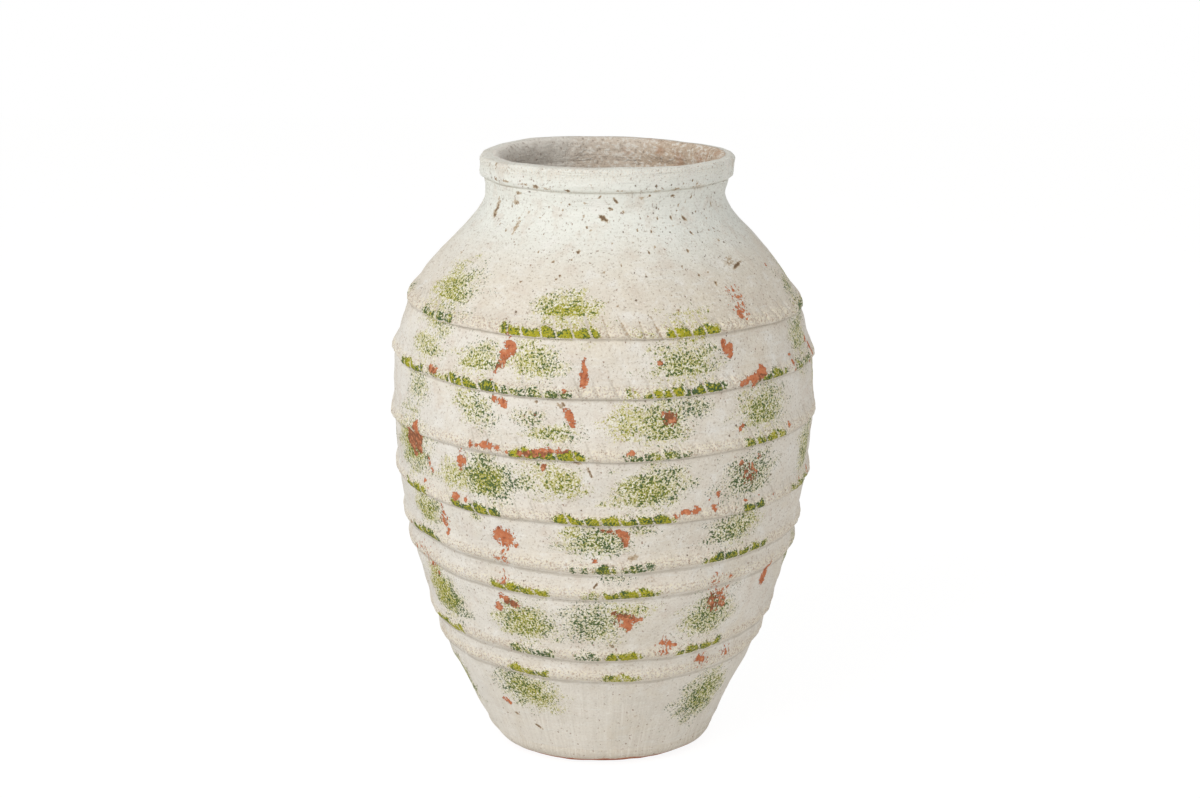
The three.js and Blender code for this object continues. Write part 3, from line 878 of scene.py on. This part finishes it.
# The wash wore off the far side of the lip right up to its top
worn_from = (5.5 * (0.5 + 0.5 * np.cos(turn_once)) + 1.5 * (0.5 - 0.5 * np.sin(turn_once))
             + 0.6 * np.sin(13 * turn_once) + 0.5 * np.sin(29 * turn_once + 1)) * mm
inner_edge = smooth_step(-lip_out - worn_from, 0, 4.5 * mm)
# Painted shade in the undercut beneath the lip
shade_under_lip = 0.8 * (1 - smooth_step(lip_up, 1.2 * mm, 3 * mm)) * smooth_step(lip_out, -8 * mm, -2 * mm)
mark(rim, lip_height.shape, inside=inner_edge, grime=shade_under_lip,
     ridge=0.45 * smooth_step(lip_up, 6 * mm, 24 * mm), **lip_marks)
rim.data.materials.append(washed_clay("rim_wash", (237, 233, 223), (232, 218, 198), True))
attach(rim, "root")
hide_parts("rim_coil")


# Cordons: strips of soft clay laid round the wall and smeared down from above, so that each is
# soft on top and steep below. The upper four are pressed with a finger into a rope, the lower
# four are smoothed; the same sponge greens their crests in lengths.
around_cordon = 1080
cordon_wash = washed_clay("cordon_wash", (230, 223, 211), (240, 231, 208), False)
# Section of a cordon: up from its crest and out of the wall, in mm
rope_section = np.array([(-rope_drop, -0.7), (-8.2, 1.4), (-7.2, 3.2), (-5.4, 4.6), (-3, 5.1), (0, 4.8),
                         (4, 3.5), (8, 1.7), (12, 0.5), (16, -0.5)])
smooth_section = np.array([(-smooth_drop, -0.7), (-10, 0.3), (-8, 1.9), (-5.4, 3.7), (-2, 4.8), (1.5, 4.6),
                           (6, 3.0), (11, 1.0), (16, -0.5)])
# For each: size, how much less it stands out at the sides, first groove (bearing), groove
# spacing and depth (mm)
cordon_shapes = {
    "cordon_1": (1.00, 0.15, -22.5, 18.2, 1.6),
    "cordon_2": (1.05, 0.25, -39.0, 19.5, 1.5),
    "cordon_3": (1.00, 0.3, -12.0, 19.0, 0.9),
    "cordon_4": (1.00, 0.2, 4.0, 18.5, 1.1),
    "cordon_5": (1.00, 0.1, 30.0, 19.0, 0.5),
    "cordon_6": (1.00, 0.1, 0.0, 19.0, 0.5),
    "cordon_7": (0.95, 0.3, 0.0, 19.0, 0.5),
    "cordon_8": (1.10, 0.45, 0.0, 19.0, 0.5),
}
# Painted lengths of each cordon: from and to (bearing), fullness, tone
painted_lengths = {
    "cordon_1": [(-62, -46, 0.62, 0.85), (-29, -1, 0.97, 0.32), (6, 15, 0.2, 0.3), (17, 33, 0.88, 0.15),
                 (73, 88, 0.6, 0.8)],
    "cordon_2": [(-68, -55, 0.95, 0.5), (-54, -50, 0.6, 0.7), (-50, -45, 0.6, 0.15),
                 (-45, -41, 0.97, 0.4), (-41, -27, 0.97, 0.75), (-27, -8, 0.58, 0.85),
                 (5, 9, 0.45, 0.1), (10, 15, 0.85, 0.3), (15, 21, 0.92, 0.45), (21, 33, 0.95, 1.05),
                 (44, 57, 0.8, 0.8), (62, 76, 0.6, 0.85)],
    "cordon_3": [(-24, -4, 0.9, 0.55), (5, 22, 0.6, 0.85), (38, 54, 0.75, 0.5)],
    "cordon_4": [(-67, -54, 0.85, 0.45), (-44, -27, 0.97, 0.85), (-13, 19, 0.93, 0.6), (39, 47, 0.92, 0.95),
                 (60, 76, 0.6, 0.5)],
    "cordon_5": [(-68, -52, 0.85, 0.7), (-9, -7, 0.6, 0.85), (-6, -4, 0.6, 0.85), (-3, 4, 0.75, 0.85),
                 (5, 14, 0.6, 0.9), (28, 45, 0.84, 0.85), (45, 52, 0.8, 0.5)],
    "cordon_6": [(-34, -15, 0.8, 0.25), (-6, -1, 0.4, 0.3), (0, 16, 0.88, 0.4)],
    "cordon_7": [(-70, -51, 0.8, 0.35), (-31, -15, 0.55, 0.85), (-9, 0, 0.45, 0.9), (1, 13, 0.9, 0.3),
                 (24, 42, 0.75, 0.5)],
    "cordon_8": [(-34, -18, 0.75, 0.25), (0, 13, 0.65, 0.25)],
}
for number, (cordon_name, shape) in enumerate(cordon_shapes.items(), 1):
    size, less_at_sides, groove_from, spacing, depth = shape
    roped = cordon_name in rope_cordons
    turned = np.arange(around_cordon) * full_turn / around_cordon
    line = smooth_line(rope_section if roped else smooth_section, 3)
    rise, out = line[:, :1] * mm, line[:, 1:] * mm * size
    crest = crest_line(cordon_name, turned)
    height = crest + rise
    # The grooves lean, and no two strands are quite alike
    strand_count = round(full_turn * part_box(cordon_name)[1].x / (spacing * mm))
    around_strands = (turned - math.radians(groove_from)) * strand_count / full_turn
    strand_dice = np.random.default_rng(400 + number)
    stray_groove = np.zeros(height.shape)
    for turns in (7, 13, 29, 41):
        stray_groove += 0.05 * np.sin(turns * turned + strand_dice.uniform(0, full_turn))
    slanted = around_strands + stray_groove + rise / mm * 0.45 / spacing
    groove_gap = np.abs((slanted + 0.5) % 1 - 0.5) * spacing
    over_band = smooth_step(rise / mm, -8.6, -6) * (1 - smooth_step(rise / mm, 5, 13))
    groove = (1 - smooth_step(groove_gap, 0.5, 3.0)) * over_band
    strand_swell = 0.175 * depth * mm * np.cos(slanted * full_turn + math.pi) * over_band
    coarse = np.zeros(height.shape)
    for _ in range(14):
        coarse += np.sin(strand_dice.integers(20, 120) * turned + strand_dice.uniform(80, 500) * rise
                         + strand_dice.uniform(0, full_turn))
    lumps = 0.07 * mm * coarse * smooth_step(out, 0, 2 * mm)
    base = wall_radius(height) + unevenness(turned, height)
    share = 1 + 0.1 * np.sin(5 * turned + number) - less_at_sides * np.sin(turned) ** 2
    # In stretches a thumb has pressed the lower edge flat
    pressed = 0.5 + 0.5 * np.sin(4 * turned + 2.3 * number) * np.sin(7 * turned + number)
    flattened = 0.6 * smooth_step(pressed, 0.45, 0.8) * (1 - smooth_step(rise / mm, -8, -3.5))
    radius = base + out * share * (1 - flattened) + lumps + strand_swell
    radius = radius - groove * depth * mm * smooth_step(out, 0.5 * mm, 3 * mm)
    # Its back is set into the wall
    back_rise = np.linspace(line[-1, 0] - 1, line[0, 0] + 0.5, 4)[:, None] * mm
    back_height = crest + back_rise
    back_radius = wall_radius(back_height) + unevenness(turned, back_height) - 2 * mm
    outside_rows = len(line)
    height = np.concatenate([height, back_height])
    radius = np.concatenate([radius, back_radius])
    weights = np.where(np.arange(len(height)) < outside_rows, 1.0, 0.15)
    cordon = mesh_object(cordon_name + "_clay", radius, height, weights, 5)
    marks = outside_marks(turned, height, radius, outside_rows)
    full, dark = 0.5 * marks["paint"], marks["tone"]
    green_low = -7.2 if roped else -8.2
    ragged_top = 1.6 * np.sin(31 * turned + number) + 1.3 * np.sin(57 * turned + 2 * number)
    belt = (smooth_step(line[:, :1], green_low, green_low + 1.2)
            * (1 - smooth_step(line[:, :1] + ragged_top, -0.5, 4.5)))
    # The back has painted lengths too, which start at another bearing on each cordon
    lengths = list(painted_lengths[cordon_name])
    bearing_at = 84 + 11 * number % 29
    while bearing_at < 268:
        run = back_dice.uniform(8, 24)
        lengths.append((bearing_at, bearing_at + run, back_dice.uniform(0.55, 0.97),
                        back_dice.uniform(0.15, 0.85)))
        bearing_at += run + back_dice.uniform(8, 30)
    for start, end, fullness, tone in lengths:
        middle, half = (start + end) / 2, (end - start) / 2
        off = np.abs(np.degrees(apart(turned, middle)))
        ends = 1 - smooth_step(off, half - 1.2, half + 0.8)
        here = np.zeros(height.shape)
        here[:outside_rows] = 1.4 * fullness * ends * belt
        dark = np.where(here > full, tone, dark)
        full = np.maximum(full, here)
    # The sponge passed over the grooves, most of all where they are deep
    grooves = np.zeros(height.shape)
    grooves[:outside_rows] = 1 - smooth_step(groove_gap, 0.8, 1.7)
    left_bare = 1.0 if depth >= 1.5 else 0.9 if roped else 0.7
    marks["paint"] = full * (1 - grooves * left_bare)
    if number == 1:
        # The bare grooves at the front are darkened with the brown stain
        bare_front = 1 - smooth_step(np.abs(np.degrees(apart(turned, 8))), 8, 12)
        marks["stain"] = np.maximum(marks["stain"], 0.75 * grooves * bare_front)
    # It left some strands darker than others
    by_strand = np.zeros(height.shape)
    by_strand[:outside_rows] = 0.3 * np.sin(2.4 * np.floor(slanted + 0.5) + number)
    marks["tone"] = dark + by_strand * smooth_step(full, 0.5, 0.8)
    # Painted grey shade on the steep lower side of the cordon and, in stretches, in the rope grooves
    crest_share, shade_on_lower_side = np.zeros(height.shape), np.zeros(height.shape)
    crest_share[:outside_rows] = smooth_step(out / mm, 1.5, 4.2) * smooth_step(line[:, :1], -8, -4)
    shade_on_lower_side[:outside_rows] = 1 - smooth_step(line[:, :1] - line[0, 0], 0.6, 2.4 if roped else 5.5)
    shade_in_rope_grooves = 0.9 * grooves * smooth_step(np.sin(5 * turned + number) + 0.4, -0.6, 0.6) if roped else 0
    mark(cordon, height.shape, ridge=crest_share, grime=np.maximum(shade_on_lower_side, shade_in_rope_grooves), **marks)
    cordon.data.materials.append(cordon_wash)
    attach(cordon, "root")
    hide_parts(cordon_name)


# Studio: a plain white sweep and soft light from the left and above, as in the photograph. The
# camera sees the floor as white, apart from the jar's soft shadow.
sweep = 6
floor_mesh = bpy.data.meshes.new("floor")
floor_corners = [(-sweep, -sweep, 0), (sweep, -sweep, 0), (sweep, sweep, 0), (-sweep, sweep, 0)]
floor_mesh.from_pydata(floor_corners, [], [(0, 1, 2, 3)])
floor = bpy.data.objects.new("floor", floor_mesh)
bpy.context.scene.collection.objects.link(floor)
paper_material = bpy.data.materials.new("white_paper")
paper = Coat(paper_material)
seen_directly = paper.node("LightPath", give="Is Camera Ray")
lit_paper = paper.node("BsdfDiffuse", {}, {"Color": (0.86, 0.85, 0.84, 1)})
glowing_paper = paper.node("Emission", {}, {"Color": (1, 1, 1, 1), "Strength": 1.12})
paper_surface = paper.node("MixShader", {}, {0: seen_directly * 0.82, 1: lit_paper, 2: glowing_paper})
paper.node("OutputMaterial", {}, {"Surface": paper_surface})
floor_mesh.materials.append(paper_material)

world = bpy.data.worlds.new("studio")
bpy.context.scene.world = world
sky = Coat(world)
seen_by_eye = sky.node("LightPath", give="Is Camera Ray") + sky.node("LightPath", give="Is Glossy Ray")
ambient = sky.node("Background", {}, {"Color": (1.0, 0.995, 0.985, 1), "Strength": 0.5})
backdrop = sky.node("Background", {}, {"Color": (1, 1, 1, 1), "Strength": 1.0})
around_jar = sky.node("MixShader", {}, {0: seen_by_eye, 1: ambient, 2: backdrop})
sky.node("OutputWorld", {}, {"Surface": around_jar})


def soft_box(name, place, size, watts):
    """A square lamp aimed at the middle of the jar"""
    aim = (0, 0, 0.35)
    light_data = bpy.data.lights.new(name, "AREA")
    light_data.shape = "SQUARE"
    light_data.size = size
    light_data.energy = watts
    light_data.color = (1.0, 0.99, 0.975)
    light = bpy.data.objects.new(name, light_data)
    light.location = place
    toward = [a - p for a, p in zip(aim, place)]
    flat = math.hypot(toward[0], toward[1])
    light.rotation_euler = (math.atan2(flat, -toward[2]), 0, math.atan2(-toward[0], toward[1]))
    bpy.context.scene.collection.objects.link(light)


soft_box("key", (-2.0, -2.2, 2.3), 2.2, 57.5)
soft_box("fill", (2.4, -2.4, 1.2), 2.0, 16.5)

bpy.context.scene.view_settings.view_transform = "Standard"
